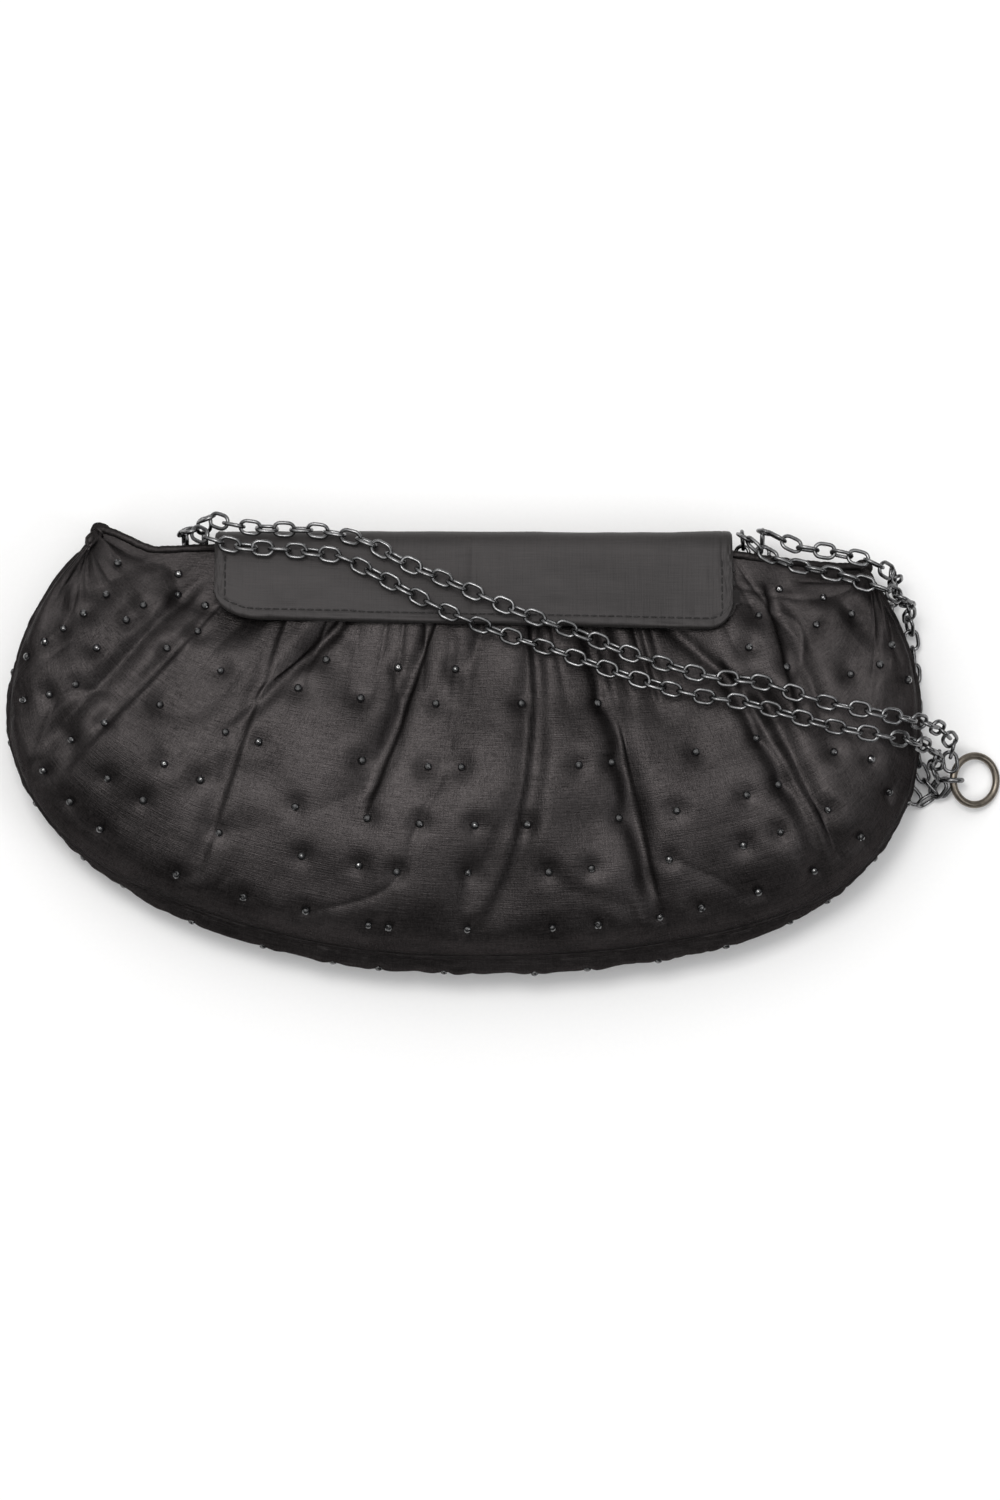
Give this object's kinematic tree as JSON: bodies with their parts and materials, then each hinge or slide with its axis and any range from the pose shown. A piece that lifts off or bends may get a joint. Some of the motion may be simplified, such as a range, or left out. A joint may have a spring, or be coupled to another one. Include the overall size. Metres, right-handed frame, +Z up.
{
  "type": "evening bag",
  "caption": "Half-moon evening bag with a gathered, beaded satin front, a narrow magnetic flap and a doubled chain strap with a ring.",
  "frame": {"origin": "middle of the flat patch of the back that the bag rests on", "axes": "+Z up through the front face, +Y towards the mouth and the flap, +X towards the side where the ring lies"},
  "size_m": [0.3068, 0.1443, 0.0465],
  "materials": {
    "satin": "satin",
    "flap_cloth": "matte",
    "wadding": "matte",
    "lining": "satin",
    "trim": "satin",
    "beads": "gloss",
    "stiffener": "matte",
    "magnet": "satin",
    "gunmetal": "polished",
    "antique": "satin"
  },
  "bodies": {
    "bag": {"front_panel": "satin", "front_wadding": "wadding", "front_lining": "lining", "back_panel": "satin", "back_wadding": "wadding", "back_lining": "lining", "gusset": "satin", "gusset_lining": "lining", "front_piping": "trim", "back_piping": "trim", "front_mouth_binding": "trim", "back_mouth_binding": "trim", "front_beads": "beads", "gusset_beads": "beads", "back_beads": "beads", "front_magnet": "magnet", "left_anchor_tab": "trim", "right_anchor_tab": "trim", "left_anchor_ring": "gunmetal", "right_anchor_ring": "gunmetal", "front_chain_lower": "gunmetal", "front_chain_upper": "gunmetal", "side_chain_lower": "gunmetal", "side_chain_upper": "gunmetal", "jump_ring": "gunmetal"},
    "flap": {"flap_satin": "flap_cloth", "flap_stiffener": "stiffener", "flap_lining": "lining", "flap_magnet": "magnet"},
    "ring": {"strap_ring": "antique"}
  },
  "joints": [
    {"name": "flap_fold", "type": "hinge", "parent": "bag", "child": "flap", "pos_m": [0, 0.0636, 0.0132], "axis": [-1, 0, 0], "range_deg": [0, 110], "deforming": ["front_chain_lower", "front_chain_upper"]},
    {"name": "ring_swing", "type": "hinge", "parent": "bag", "child": "ring", "pos_m": [0.15015, -0.0085, 0.00735], "axis": [0, -1, 0], "range_deg": [0, 90]}
  ]
}
